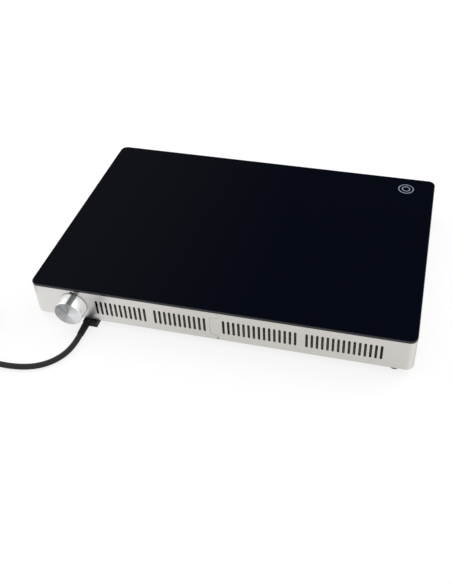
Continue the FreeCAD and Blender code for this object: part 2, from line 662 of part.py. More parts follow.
# Control knob: a turned aluminium cap over a moulded core that grips the spindle.
cap = rod("cap_blank", "knob_radius", "knob_length", "knob_x", "knob_back_y", "knob_z", "front")
cap_recess = rod("cap_recess", "recess_radius", "recess_depth", "knob_x", "knob_back_y", "knob_z", "front")
screw_hole = rod("set_screw_hole", "set_screw_radius", "knob_radius", "knob_x",
                 "knob_back_y - recess_depth + hub_disc + set_screw_radius + knob_fit",
                 "knob_z - knob_radius")
cap_cut = cut("cap_cut", cap, [cap_recess, screw_hole])
doc.recompute()
cap_edge = doc.addObject("Part::Chamfer", "cap_edge")
cap_edge.Base = cap_cut
front_rim = [number for number, edge in enumerate(cap_cut.Shape.Edges, start=1)
             if edge.Length > 2 * math.pi * (size("knob_radius") - 0.01)
             and abs(edge.BoundBox.YMax - size("knob_front_y")) < 0.01]
chamfer = size("knob_chamfer")
cap_edge.Edges = [(number, chamfer, chamfer) for number in front_rim]
keep(cap_edge, "knob_cap")
hub_start = "front_y - bush_reach - hub_gap"
hub_length = "bush_reach + hub_gap"
hub = rod("hub", "hub_radius", f"knob_gap + recess_depth - ({hub_length})", "knob_x", hub_start, "knob_z",
          "front")
disc = rod("hub_plate", "recess_radius - knob_fit", "hub_disc", "knob_x",
           "knob_back_y - recess_depth + hub_disc", "knob_z", "front")
hub_bore = rod("hub_bore", "spindle_radius + knob_fit", "knob_length", "knob_x", "front_y", "knob_z",
               "front")
hub_screw_hole = rod("hub_screw_hole", "set_screw_radius", "knob_radius", "knob_x",
                     "knob_back_y - recess_depth + hub_disc + set_screw_radius + knob_fit",
                     "knob_z - knob_radius")
core = fuse("core_blank", [hub, disc])
keep(cut("core_cut", core, [hub_bore, hub_screw_hole]), "knob_core")
set_screw = rod("grub_screw", "set_screw_radius - knob_fit / 2",
                "knob_radius - spindle_radius - knob_chamfer - knob_fit", "knob_x",
                "knob_back_y - recess_depth + hub_disc + set_screw_radius + knob_fit",
                "knob_z - knob_radius + knob_chamfer")
keep(set_screw, "knob_set_screw")
spindle_length = "band_thickness - spindle_end_gap + knob_gap + recess_depth - knob_fit"
spindle = rod("spindle_rod", "spindle_radius", spindle_length, "knob_x", "inner_y - spindle_end_gap",
              "knob_z", "front")
flat = box("spindle_flat_cut", "2 * spindle_radius", f"{spindle_length} - bush_reach - hub_gap",
           "spindle_radius", "knob_x",
           f"front_y - bush_reach - hub_gap / 2 - ({spindle_length} - bush_reach - hub_gap) / 2",
           "knob_z + spindle_radius - spindle_flat")
keep(cut("spindle_cut", spindle, [flat]), "thermostat_spindle")

# Pilot lamp above the knob: a domed lens through the wall and a barrel behind it.
stem = rod("lens_stem", "lamp_radius", "band_thickness", "knob_x", "inner_y", "lamp_z", "front")
dome = cone("lens_dome_cone", "lens_radius", "lamp_radius - lens_dome / 2", "lens_dome", "knob_x", "front_y",
            "lamp_z", "front")
keep(fuse("lens", [stem, dome]), "lamp_lens")
keep(rod("lamp_barrel", "lamp_body_radius", "lamp_body_length", "knob_x", "inner_y + lamp_body_length",
         "lamp_z", "front"), "lamp_body")

# Sensor bulb and safety cut-out under the spreader, between runs of the element.
keep(rod("bulb_rod", "bulb_radius", "bulb_length", "clamp_width - clamp_spacing",
         "middle_y - 2 * element_spacing", "bulb_z", "x"), "sensor_bulb")
keep(rod("cutout_disc", "cutout_radius", "cutout_height", "0 - clamp_spacing / 2", "middle_y",
         "spreader_base - cutout_height"), "thermal_cutout")

# Terminal block and earth stud on the base plate.
block = box("block_blank", "block_width", "block_depth", "block_height", "block_x",
            "front_y + block_back", "base_top")
wells = [rod(f"block_well_{side + 1}", "stud_radius", "block_height / 2",
             f"block_x + ({side}) * block_width / 3.2", "front_y + block_back",
             "base_top + block_height / 2") for side in (-1, 0, 1)]
keep(cut("block_cut", block, wells), "terminal_block")
stud = rod("stud_rod", "stud_radius", "stud_length", "stud_x", "front_y + block_back", "flange_top")
stud_head = rod("stud_head", "stud_head_radius", "screw_head_height", "stud_x", "front_y + block_back",
                "flange_top - screw_head_height")
stud_nut = doc.addObject("Part::Prism", "stud_nut")
stud_nut.Polygon = 6
bind(stud_nut, Circumradius="stud_head_radius", Height="stud_length / 3")
place(stud_nut, "stud_x", "front_y + block_back", "base_top")
keep(fuse("earth_fixing", [stud, stud_head, stud_nut]), "earth_stud")

# Moulded cord gland under the front edge, with a boss up through the base plate.
gland_foot = box("gland_foot", "gland_width", "gland_front + gland_back", "ground_gap - gland_ground_gap",
                 boss_x, "front_y + (gland_back - gland_front) / 2", "gland_ground_gap")
gland_boss = box("gland_boss", "gland_boss_width", "gland_boss_length", "gland_boss_height", boss_x, boss_y,
                 "ground_gap")
keep(fuse("gland", [gland_foot, gland_boss]), "cord_gland")

# Tapered strain relief on the front of the gland.
keep(cone("relief", "relief_radius", "relief_tip_radius", "relief_length", "cord_x", "relief_y",
          "relief_radius", "front"), "strain_relief")


def routed(points, name):
    # Straight runs joined by tangent arcs, as large as the two runs at each corner allow.
    pieces = []
    last = points[0]
    radii = []
    for before, corner, after in zip(points, points[1:], points[2:]):
        into = (corner - before).normalize()
        away = (after - corner).normalize()
        half_turn = into.getAngle(away) / 2
        reach = 0.45 * min((corner - before).Length, (after - corner).Length)
        radius = reach / math.tan(half_turn)
        start = corner - into * reach
        end = corner + away * reach
        bisector = (away - into).normalize()
        middle = corner + bisector * (radius / math.cos(half_turn) - radius)
        pieces.append(Part.LineSegment(last, start).toShape())
        pieces.append(Part.Arc(start, middle, end).toShape())
        last = end
        radii.append(radius)
    pieces.append(Part.LineSegment(last, points[-1]).toShape())
    print(f"{name}: bend radii " + ", ".join(f"{radius:.0f}" for radius in radii) + " mm")
    return Part.Wire(pieces)


def biarc(start, leave, end, arrive):
    # Two arcs that run from start to end and are tangent to the two directions.
    chord = end - start
    both = leave + arrive
    a = 2 * (leave.dot(arrive) - 1)
    b = -2 * chord.dot(both)
    c = chord.dot(chord)
    if abs(a) < 1e-9:
        reach = -c / b
    else:
        reach = (-b - math.sqrt(b * b - 4 * a * c)) / (2 * a)
    near = start + leave * reach
    far = end - arrive * reach
    joint = (near + far) * 0.5
    return [arc_through(start, near, joint), arc_through(joint, far, end)]


def arc_through(start, corner, end):
    # The arc that is tangent at start and end to the lines that meet in corner.
    into = (corner - start).normalize()
    away = (end - corner).normalize()
    half_turn = into.getAngle(away) / 2
    radius = (corner - start).Length / math.tan(half_turn)
    bisector = (away - into).normalize()
    middle = corner + bisector * (radius / math.cos(half_turn) - radius)
    return Part.Arc(start, middle, end).toShape()


# Coil of the length put away: it winds clockwise inwards on the table, climbs a layer while it
# turns back, and winds outwards again on top.
def coil_line(turns):
    # Angle, radius and height of the coil after some turns from its start.
    total = size("coil_turns")
    inner = (total - 0.5) / 2
    pitch = size("coil_pitch")
    low = size("cord_radius") + size("coil_lift")
    outer = size("coil_radius")
    angle = -math.pi / 2 - 2 * math.pi * turns
    if turns <= inner:
        radius = outer - pitch * turns
        height = low
    elif turns < inner + 0.5:
        share = (turns - inner) / 0.5
        radius = outer - pitch * (inner + 0.5 * share * (1 - share))
        height = low + pitch * (share - math.sin(2 * math.pi * share) / (2 * math.pi))
    else:
        radius = outer - pitch * (total - turns)
        height = low + pitch
    centre = FreeCAD.Vector(size("coil_x"), size("coil_y"), 0)
    return centre + FreeCAD.Vector(radius * math.cos(angle), radius * math.sin(angle), height)


def coil_path():
    total = size("coil_turns")
    steps = int(round(total * 4))
    small = 1e-4
    stops = [total * number / steps for number in range(steps + 1)]
    spots = [coil_line(stop) for stop in stops]
    ways = []
    for stop in stops:
        after = coil_line(min(stop + small, total))
        before = coil_line(max(stop - small, 0))
        ways.append((after - before).normalize())
    start = spots[0] - ways[0] * 2 * size("cord_radius")
    pieces = [Part.LineSegment(start, spots[0]).toShape()]
    for number in range(steps):
        pieces += biarc(spots[number], ways[number], spots[number + 1], ways[number + 1])
    end = spots[-1] + ways[-1] * size("coil_tail")
    pieces.append(Part.LineSegment(spots[-1], end).toShape())
    return Part.Wire(pieces), start, ways[0], end, ways[-1]


def coil_gap():
    # The least air between two turns, from points along the coil's own line.
    per_turn = 72
    count = int(size("coil_turns") * per_turn) + 1
    spots = [coil_line(min(number / per_turn, size("coil_turns"))) for number in range(count)]
    nearest = min(first.distanceToPoint(second) for number, first in enumerate(spots)
                  for second in spots[number + per_turn // 4:])
    return nearest - 2 * size("cord_radius")


coil_wire, coil_start, start_way, coil_end, coil_way = coil_path()
keep(sweep("coil_tube", coil_wire, size("cord_radius")), "cord_coil")
print(f"cord_coil: least gap between turns {coil_gap():.2f} mm")

# The free cord leaves the strain relief, lies down on the table and runs straight into the coil.
exit_spot = FreeCAD.Vector(size("cord_x"), size("exit_y"), size("relief_radius"))
cord_points = [exit_spot]
for number, (x, y) in enumerate(cord_bends):
    height = max(exit_spot.z - 0.4 * number, size("cord_radius"))
    cord_points.append(FreeCAD.Vector(exit_spot.x + x, exit_spot.y + y, height))
cord_points.append(coil_start - start_way * size("coil_lead"))
cord_points.append(coil_start)
keep(sweep("cord_tube", routed(cord_points, "mains_cord"), size("cord_radius")), "mains_cord")

# Mains plug beside the coil, in line with the cord's end, with three pins in a row.
plug_turn = math.degrees(math.atan2(coil_way.y, coil_way.x))
plug_height = 2 * coil_end.z
print(f"cord_coil: ends at {coil_end.x:.2f}, {coil_end.y:.2f}, {coil_end.z:.2f} mm")


def plug_shapes():
    length = size("plug_length")
    width = size("plug_width")
    neck = size("plug_neck")
    edge = size("plug_edge")
    body = Part.makeBox(length, width, plug_height, FreeCAD.Vector(neck, -width / 2, 0))
    upright = [side for side in body.Edges if abs(side.tangentAt(0).z) > 0.9]
    body = body.makeFillet(edge, upright)
    collar = Part.makeCone(size("plug_neck_radius"), coil_end.z - 1, neck, FreeCAD.Vector(0, 0, coil_end.z),
                           FreeCAD.Vector(1, 0, 0))
    pins = []
    for number in (-1, 0, 1):
        spot = FreeCAD.Vector(neck + length, number * size("pin_spacing"), coil_end.z)
        pins.append(Part.makeCylinder(size("pin_radius"), size("pin_length"), spot, FreeCAD.Vector(1, 0, 0)))
    return body.fuse(collar), Part.makeCompound(pins)


plug_body, plug_pins = plug_shapes()
plug_place = FreeCAD.Placement(FreeCAD.Vector(coil_end.x, coil_end.y, 0),
                               FreeCAD.Rotation(FreeCAD.Vector(0, 0, 1), plug_turn))
for label, shape in (("mains_plug", plug_body), ("plug_pins", plug_pins)):
    item = doc.addObject("Part::Feature", label + "_shape")
    item.Shape = shape
    item.Placement = plug_place
    keep(item, label)

# Wires inside the housing. They leave the gland's boss for the terminal block and the earth stud,
# and join the block, the thermostat and the two ends of the element.
boss_top = size("ground_gap") + size("gland_boss_height")
boss_mid_x = size("gland_x") + size("gland_width") / 2
boss_mid_y = size("front_y") + size("gland_back") - size("gland_boss_length") / 2
block_front = size("front_y") + size("block_back") - size("block_depth") / 2
block_back = block_front + size("block_depth")
block_left = size("block_x") - size("block_width") / 2
low_wire = boss_top + 4
high_wire = boss_top + 9
side_lane = size("wire_radius") - size("body_width") / 2 + size("flange_width") * 0.7
case_side = size("knob_x") - size("thermostat_width") / 2
case_right = size("knob_x") + size("thermostat_width") / 2
case_mid_y = size("inner_y") + size("thermostat_depth") / 2
first_run_y = size("middle_y") - size("element_spacing") * (size("element_runs") - 1) / 2
last_run_y = 2 * size("middle_y") - first_run_y
element_end = -size("element_half_length")


def lead(name, radius, *points):
    return sweep(name, routed([FreeCAD.Vector(*point) for point in points], name), size(radius))


live = lead("live_wire", "wire_radius", (boss_mid_x + 1, boss_mid_y, boss_top),
            (boss_mid_x + 1, boss_mid_y, high_wire), (block_left + 10, boss_mid_y, high_wire),
            (block_left + 10, block_front, high_wire))
neutral = lead("neutral_wire", "wire_radius", (boss_mid_x + 7, boss_mid_y, boss_top),
               (boss_mid_x + 7, boss_mid_y, low_wire), (block_left + 22, boss_mid_y, low_wire),
               (block_left + 22, block_front, low_wire))
keep(group("supply_group", [live, neutral]), "supply_wires")
stud_top = size("flange_top") + size("stud_length")
keep(lead("earth_lead", "wire_radius", (boss_mid_x - 5, boss_mid_y, boss_top),
          (boss_mid_x - 5, boss_mid_y, stud_top + 5),
          (size("stud_x"), size("front_y") + size("block_back"), stud_top + 5),
          (size("stud_x"), size("front_y") + size("block_back"), stud_top)), "earth_wire")
keep(lead("thermostat_lead", "wire_radius", (block_left + 32, block_front, high_wire),
          (block_left + 32, case_mid_y, high_wire), (case_right, case_mid_y, high_wire)), "thermostat_wire")
keep(lead("feed_lead", "wire_radius", (case_side, case_mid_y, size("knob_z") + 5),
          (side_lane, case_mid_y, size("knob_z") + 5), (side_lane, first_run_y, size("knob_z") + 5),
          (side_lane, first_run_y, size("element_z")), (element_end, first_run_y, size("element_z"))),
     "element_feed_wire")
keep(lead("return_lead", "wire_radius", (size("block_x"), block_back, high_wire),
          (size("block_x"), size("middle_y") - 70, high_wire), (side_lane, size("middle_y") - 70, high_wire),
          (side_lane, last_run_y, high_wire), (side_lane, last_run_y, size("element_z")),
          (element_end, last_run_y, size("element_z"))), "element_return_wire")
bulb_y = size("middle_y") - 2 * size("element_spacing")
bulb_start = size("clamp_width") - size("clamp_spacing")
keep(lead("capillary_tube", "capillary_radius", (case_side, case_mid_y + 6, size("knob_z") + 12),
          (side_lane + 7, case_mid_y + 6, size("knob_z") + 12), (side_lane + 7, bulb_y, size("knob_z") + 12),
          (side_lane + 7, bulb_y, size("bulb_z")), (bulb_start, bulb_y, size("bulb_z"))), "sensor_capillary")

doc.recompute()

failed = [item.Name for item in doc.Objects if "Invalid" in item.State or "Error" in item.State]
if failed:
    raise ValueError("not built: " + ", ".join(failed))
os.makedirs("parts", exist_ok=True)
triangles = 0
for item in nodes:
    shape = item.Shape
    if shape.isNull() or not shape.isValid() or not shape.Solids:
        raise ValueError(item.Label + " has no valid solid")
    shape.exportStep(f"parts/{item.Label}.step")
    count = len(shape.tessellate(0.1)[1])
    triangles += count
    print(f"{item.Label}: {len(shape.Solids)} solids, {shape.Volume:.0f} mm3, {count} facets")
print(len(nodes), "nodes,", triangles, "facets")
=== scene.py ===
import json
import math

import bmesh
import bpy
import numpy as np
from mathutils import Matrix, Vector

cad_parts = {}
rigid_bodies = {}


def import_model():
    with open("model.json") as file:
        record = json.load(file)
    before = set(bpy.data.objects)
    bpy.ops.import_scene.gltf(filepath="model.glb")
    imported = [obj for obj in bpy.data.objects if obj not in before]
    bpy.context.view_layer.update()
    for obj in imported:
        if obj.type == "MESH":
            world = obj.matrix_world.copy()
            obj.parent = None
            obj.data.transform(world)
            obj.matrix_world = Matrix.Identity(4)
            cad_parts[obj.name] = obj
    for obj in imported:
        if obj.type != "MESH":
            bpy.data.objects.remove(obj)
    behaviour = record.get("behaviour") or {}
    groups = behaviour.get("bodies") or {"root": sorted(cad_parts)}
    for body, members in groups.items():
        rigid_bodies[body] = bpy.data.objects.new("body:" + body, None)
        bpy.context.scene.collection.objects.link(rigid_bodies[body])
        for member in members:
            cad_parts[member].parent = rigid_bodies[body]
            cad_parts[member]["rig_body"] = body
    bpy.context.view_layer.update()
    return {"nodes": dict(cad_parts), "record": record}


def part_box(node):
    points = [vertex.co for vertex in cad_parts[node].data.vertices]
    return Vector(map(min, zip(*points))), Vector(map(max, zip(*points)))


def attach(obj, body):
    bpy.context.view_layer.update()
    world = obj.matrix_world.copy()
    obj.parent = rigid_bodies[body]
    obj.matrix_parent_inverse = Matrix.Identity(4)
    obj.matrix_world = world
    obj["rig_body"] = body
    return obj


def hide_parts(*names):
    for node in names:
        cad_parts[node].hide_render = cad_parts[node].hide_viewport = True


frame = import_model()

nodes = frame["nodes"]
scene = bpy.context.scene
scene.view_settings.view_transform = "Standard"


# Shader maths as Python expressions
class Value:
    # A socket whose operators add Math nodes.
    def __init__(self, tree, socket):
        self.tree = tree
        self.socket = socket

    def math(self, operation, *others):
        return self.tree.math(operation, self, *others)

    def __add__(self, other):
        return self.math("ADD", other)

    __radd__ = __add__

    def __sub__(self, other):
        return self.math("SUBTRACT", other)

    def __rsub__(self, other):
        return self.tree.math("SUBTRACT", other, self)

    def __mul__(self, other):
        return self.math("MULTIPLY", other)

    __rmul__ = __mul__

    def __truediv__(self, other):
        return self.math("DIVIDE", other)

    def __rtruediv__(self, other):
        return self.tree.math("DIVIDE", other, self)

    def clip(self):
        return self.math("MAXIMUM", 0.0).math("MINIMUM", 1.0)

    def band(self, low, high):
        # 0 below low and 1 above high, with a straight ramp between.
        return ((self - low) / (high - low)).clip()


class NodeBench:
    # The nodes and links of one material or world.
    def __init__(self, owner):
        owner.use_nodes = True
        self.nodes = owner.node_tree.nodes
        self.links = owner.node_tree.links

    def feed(self, socket, value):
        if isinstance(value, Value):
            self.links.new(value.socket, socket)
        elif socket.type == "RGBA":
            socket.default_value = (*value, 1.0)
        else:
            socket.default_value = value

    def node(self, kind, settings, inputs, output=0):
        # Settings first, then the values or links of the sockets, by place or by name.
        made = self.nodes.new(kind)
        for name, value in settings.items():
            setattr(made, name, value)
        pairs = inputs.items() if isinstance(inputs, dict) else enumerate(inputs)
        for key, value in pairs:
            self.feed(made.inputs[key], value)
        return Value(self, made.outputs[output])

    def math(self, operation, *terms):
        return self.node("ShaderNodeMath", {"operation": operation}, terms)

    def coordinates(self, kind="Object"):
        # Places in metres on a piece, or directions in the world.
        return self.node("ShaderNodeTexCoord", {}, [], kind)

    def axes(self, where):
        outputs = self.node("ShaderNodeSeparateXYZ", {}, [where]).socket.node.outputs
        return [Value(self, outputs[number]) for number in range(3)]

    def vector(self, x, y, z):
        return self.node("ShaderNodeCombineXYZ", {}, [x, y, z])

    def noise(self, where, scale, detail=2.0, rough=0.5):
        inputs = {"Vector": where, "Scale": scale, "Detail": detail, "Roughness": rough}
        return self.node("ShaderNodeTexNoise", {}, inputs)

    def blend(self, share, first, second):
        # Sockets 6 and 7 of a Mix node are its two colours, and output 2 is its colour.
        inputs = {0: share, 6: first, 7: second}
        return self.node("ShaderNodeMix", {"data_type": "RGBA"}, inputs, 2)

    def bump(self, height, strength, distance):
        inputs = {"Strength": strength, "Distance": distance, "Height": height}
        return self.node("ShaderNodeBump", {}, inputs)


socketNames = {"colour": "Base Color", "rough": "Roughness", "metal": "Metallic",
               "normal": "Normal", "ior": "IOR", "specular": "Specular IOR Level"}


class Finish(NodeBench):
    # One material with a principled shader.
    def __init__(self, name, **values):
        self.material = bpy.data.materials.new(name)
        super().__init__(self.material)
        self.shader = self.nodes["Principled BSDF"]
        self.set(**values)

    def set(self, **values):
        for name, value in values.items():
            self.feed(self.shader.inputs[socketNames[name]], value)
        return self.material


# Camera at the photograph's viewing angle
cameraView = {
    "place": (0.2342, -0.8412, 0.7594),
    "turn": 14.68, "down": 41.16, "roll": 1.72,        # degrees
    "focus": 751.9, "centre": (255.2, 266.9),          # pixels
    "image": (452, 584),
    "film": 36.0, "near": 0.01,
}


def makeCamera(view):
    wide, high = view["image"]
    data = bpy.data.cameras.new("camera")
    data.sensor_fit = "VERTICAL"
    data.sensor_height = view["film"]
    data.lens = view["focus"] * view["film"] / high
    data.shift_x = (wide / 2 - view["centre"][0]) / high
    data.shift_y = (view["centre"][1] - high / 2) / high
    data.clip_start = view["near"]
    camera = bpy.data.objects.new("camera", data)
    scene.collection.objects.link(camera)
    turn = Matrix.Rotation(math.radians(view["turn"]), 4, "Z")
    tilt = Matrix.Rotation(math.radians(90 - view["down"]), 4, "X")
    roll = Matrix.Rotation(math.radians(-view["roll"]), 4, "Z")
    camera.matrix_world = Matrix.Translation(view["place"]) @ turn @ tilt @ roll
    scene.camera = camera


makeCamera(cameraView)
print("camera set")


def gridMesh(name, points, closed=False):
    # A mesh from a grid of points, with faces between neighbouring rows and columns. A closed
    # grid also joins its last column to its first.
    rows, columns = points.shape[:2]
    index = np.arange(rows * columns).reshape(rows, columns)
    if closed:
        index = np.hstack([index, index[:, :1]])
    faces = np.stack([index[:-1, :-1], index[:-1, 1:], index[1:, 1:], index[1:, :-1]], axis=-1)
    mesh = bpy.data.meshes.new(name)
    mesh.from_pydata(points.reshape(-1, 3).tolist(), [], faces.reshape(-1, 4).tolist())
    return mesh


def addPiece(name, mesh, material, body):
    piece = bpy.data.objects.new(name, mesh)
    scene.collection.objects.link(piece)
    mesh.materials.clear()
    mesh.materials.append(material)
    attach(piece, body)
    return piece


# Floor, world and lamp
floorPaper = {"size": 12.0, "lines": 5, "colour": (0.90, 0.90, 0.90), "rough": 0.9,
              "specular": 0.2, "glow": 0.76}


def makeFloor():
    # A flat square of even lines. What the camera and reflections see of it is mostly white.
    half = floorPaper["size"] / 2
    line = np.linspace(-half, half, floorPaper["lines"])
    x, y = np.meshgrid(line, line)
    floor = bpy.data.objects.new("floor", gridMesh("floor", np.dstack([x, y, 0 * x])))
    scene.collection.objects.link(floor)
    paper = Finish("floorPaper", rough=floorPaper["rough"], colour=floorPaper["colour"],
                   specular=floorPaper["specular"])
    path = paper.node("ShaderNodeLightPath", {}, []).socket.node.outputs
    seen = Value(paper, path["Is Camera Ray"]) + Value(paper, path["Is Glossy Ray"])
    glow = paper.node("ShaderNodeEmission", {}, {"Color": (1.0, 1.0, 1.0), "Strength": 1.0})
    plain = Value(paper, paper.shader.outputs[0])
    mixed = paper.node("ShaderNodeMixShader", {}, [seen * floorPaper["glow"], plain, glow])
    paper.feed(paper.nodes["Material Output"].inputs["Surface"], mixed)
    floor.data.materials.append(paper.material)


# The flag's sides and its lower edge are parts of a direction one unit long.
skyRows = {
    "level": 0.96, "colour": (1.0, 1.0, 1.0),
    "flag": 0.02, "left": -0.60, "right": 0.16, "sideEdge": 0.05,
    "front": 0.30, "frontEdge": 0.05, "low": 0.10, "lowEdge": 0.03,
    "glow": 2.0, "glowReach": 0.84, "glowEdge": 0.1,
}


def makeWorld():
    # A pale room. High behind the object hangs a dark flag, which the glass and the knob
    # reflect, with a bright strip on each side of it.
    world = bpy.data.worlds.new("studioWorld")
    scene.world = world
    sky = NodeBench(world)
    x, y, z = sky.axes(sky.coordinates("Generated"))
    row = skyRows
    leftEnd = row["left"] - row["glowReach"]
    rightEnd = row["right"] + row["glowReach"]
    behind = y.band(row["front"] - row["frontEdge"], row["front"] + row["frontEdge"])
    behind = behind * z.band(row["low"] - row["lowEdge"], row["low"] + row["lowEdge"])
    left = x.band(row["left"] - row["sideEdge"], row["left"] + row["sideEdge"])
    right = x.band(row["right"] - row["sideEdge"], row["right"] + row["sideEdge"])
    farLeft = x.band(leftEnd, leftEnd + row["glowEdge"])
    farRight = x.band(rightEnd - row["glowEdge"], rightEnd)
    flag = behind * left * (1.0 - right)
    glow = behind * (farLeft * (1.0 - left) + right * (1.0 - farRight))
    level = row["level"] + glow * row["glow"] + flag * (row["flag"] - row["level"])
    background = sky.nodes["Background"]
    sky.feed(background.inputs["Strength"], level)
    sky.feed(background.inputs["Color"], row["colour"])


overheadLamp = {"place": (-0.9, 0.2, 2.4), "aim": (0.0, 0.0, 0.0), "size": 1.8, "power": 12.0}


def makeLamp(name, lamp):
    data = bpy.data.lights.new(name, "AREA")
    data.shape = "DISK"
    data.size = lamp["size"]
    data.energy = lamp["power"]
    light = bpy.data.objects.new(name, data)
    scene.collection.objects.link(light)
    light.location = lamp["place"]
    aim = Vector(lamp["aim"]) - light.location
    light.rotation_euler = aim.to_track_quat("-Z", "Y").to_euler()


makeFloor()
makeWorld()
makeLamp("overhead", overheadLamp)
print("studio set")


# Finishes
def shaded(colour, share):
    return tuple(share * part for part in colour)


def blackGlass():
    # Nearly black, a little paler to the left as a painted reflection, with a faint smear in its
    # gloss.
    look = {"pale": (0.0040, 0.0044, 0.0064), "tint": (0.0010, 0.0018, 0.0050),
            "paleTo": -0.22, "tintFrom": 0.05, "ior": 1.5, "rough": 0.03, "haze": 0.02,
            "smear": 9.0}
    finish = Finish("blackGlass", ior=look["ior"])
    place = finish.coordinates()
    across = finish.axes(place)[0]
    smear = finish.noise(place, look["smear"], 3.0)
    # Painted reflection: the base colour is paler towards the left end of the glass.
    shade = finish.blend(across.band(look["paleTo"], look["tintFrom"]), look["pale"], look["tint"])
    return finish.set(colour=shade, rough=look["rough"] + smear * look["haze"])


def brushedSteel():
    # Fine lines along the strip, wherever it runs: quick changes in height, slow ones along it.
    # The strip has a painted highlight at its left end and where it bends.
    look = {"fine": 2600.0, "broad": 420.0, "along": 9.0, "cloud": 7.0,
            "hairShare": 0.5, "streakShare": 0.3, "cloudShare": 0.2, "even": (0.35, 0.65),
            "toneShare": 0.7, "dark": (0.555, 0.534, 0.503), "pale": (0.650, 0.631, 0.600),
            "bright": (0.750, 0.737, 0.715), "endFrom": -0.27, "endTo": -0.03, "endHighlightShare": 0.95,
            "bendOut": (0.0008, 0.003), "bendIn": (0.006, 0.0095), "bendAcross": (0.006, 0.010),
            "bendHighlightShare": 0.55, "rough": 0.33, "hairSpread": 0.10, "cloudSpread": 0.06,
            "bump": 0.2, "depth": 0.00002}
    finish = Finish("brushedSteel", metal=1.0)
    place = finish.coordinates()
    x, y, z = finish.axes(place)
    along = look["along"]
    fine = finish.vector(x * along, y * along, z * look["fine"])
    broad = finish.vector(x * along, y * along, z * look["broad"])
    hair = finish.noise(fine, 1.0, 3.0, 0.6)
    streak = finish.noise(broad, 1.0)
    cloud = finish.noise(place, look["cloud"])
    tone = hair * look["hairShare"] + streak * look["streakShare"] + cloud * look["cloudShare"]
    tone = tone.band(*look["even"]) * look["toneShare"]
    # Painted highlights: the left end of the strip and its rounded bends get a paler colour,
    # blended towards the bright colour.
    low, high = [np.array(corner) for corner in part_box("side_band")]
    middle, half = (low + high) / 2, (high - low) / 2
    fromSide = half[0] - (x - middle[0]).math("ABSOLUTE")
    fromFront = half[1] - (y - middle[1]).math("ABSOLUTE")
    bendHighlight = (1.0 - fromSide.band(*look["bendIn"])) * fromSide.band(*look["bendOut"])
    bendHighlight = bendHighlight * (1.0 - fromFront.band(*look["bendAcross"]))
    end = 1.0 - x.band(look["endFrom"], look["endTo"])
    bright = (end * look["endHighlightShare"] + bendHighlight * look["bendHighlightShare"]).clip()
    shade = finish.blend(bright, finish.blend(tone, look["dark"], look["pale"]), look["bright"])
    rough = look["rough"] + (hair - 0.5) * look["hairSpread"]
    rough = rough + (cloud - 0.5) * look["cloudSpread"]
    return finish.set(colour=shade, rough=rough,
                      normal=finish.bump(hair, look["bump"], look["depth"]))


def turnedAluminium(centre, frontY):
    # Rings round the knob's axis on its face, with pale and dark wedges of painted sheen, and a
    # satin side with one dark stripe painted as a reflection.
    # Angles are in radians from the knob's right.
    look = {"ring": 2400.0, "dark": (0.10, 0.105, 0.115), "pale": (0.72, 0.725, 0.735),
            "waves": ((1, 0.35, 0.36), (2, 0.0, 0.10), (7, -0.5708, 0.04)), "wedgeSheen": 0.58,
            "ringShare": 0.10, "notch": 0.16, "notchHalf": (0.10, 0.40),
            "side": (0.92, 0.925, 0.935), "paintedStripe": (0.135, 0.148, 0.140), "stripeTurn": 1.33,
            "stripeHalf": (0.16, 0.26), "faceDeep": 0.0006, "rough": 0.22, "sideRough": 0.30,
            "spread": 0.06, "sideMetal": 0.32, "bump": 0.15, "depth": 0.00002}
    finish = Finish("turnedAluminium")
    x, y, z = finish.axes(finish.coordinates())
    across = x - centre[0]
    up = z - centre[2]
    radius = (across * across + up * up).math("SQRT")
    turn = up.math("ARCTAN2", across)
    ring = look["ring"]
    rings = finish.noise(finish.vector(radius * ring, 0.0, y * ring), 1.0, 2.0, 0.6)
    away = (turn - look["stripeTurn"]).math("ABSOLUTE")
    # Painted sheen: the face is paler and darker in wedges by angle, with the rings' own small
    # variation, and darkened in line with the stripe.
    wedgeSheen = look["wedgeSheen"] + (rings - 0.5) * look["ringShare"]
    for times, start, share in look["waves"]:
        wedgeSheen = wedgeSheen + (turn * times + start).math("COSINE") * share
    wedgeSheen = wedgeSheen - (1.0 - away.band(*look["notchHalf"])) * look["notch"]
    face = finish.blend(wedgeSheen.clip(), look["dark"], look["pale"])
    # Painted reflection: a dark stripe on the side, over the real reflection of the dark flag.
    side = finish.blend(away.band(*look["stripeHalf"]), look["paintedStripe"], look["side"])
    front = 1.0 - y.band(frontY, frontY + look["faceDeep"])
    metal = look["sideMetal"] + front * (1.0 - look["sideMetal"])
    rough = look["sideRough"] + front * (look["rough"] - look["sideRough"])
    rough = rough + (rings - 0.5) * look["spread"]
    return finish.set(colour=finish.blend(front, side, face), rough=rough, metal=metal,
                      normal=finish.bump(rings * front, look["bump"], look["depth"]))


def moulded(name, colour, **changes):
    # Rubber or plastic with a fine grain and a slow change of shade.
    look = {"rough": 0.45, "roughSpread": 0.1, "grain": 1400.0, "cloud": 30.0, "spread": 0.2,
            "bump": 0.3, "depth": 0.00004, "specular": 0.5, **changes}
    finish = Finish(name, specular=look["specular"])
    place = finish.coordinates()
    skin = finish.noise(place, look["grain"])
    cloud = finish.noise(place, look["cloud"])
    shade = finish.blend(cloud, shaded(colour, 1 - look["spread"]),
                         shaded(colour, 1 + look["spread"]))
    return finish.set(colour=shade, rough=look["rough"] + (cloud - 0.5) * look["roughSpread"],
                      normal=finish.bump(skin, look["bump"], look["depth"]))


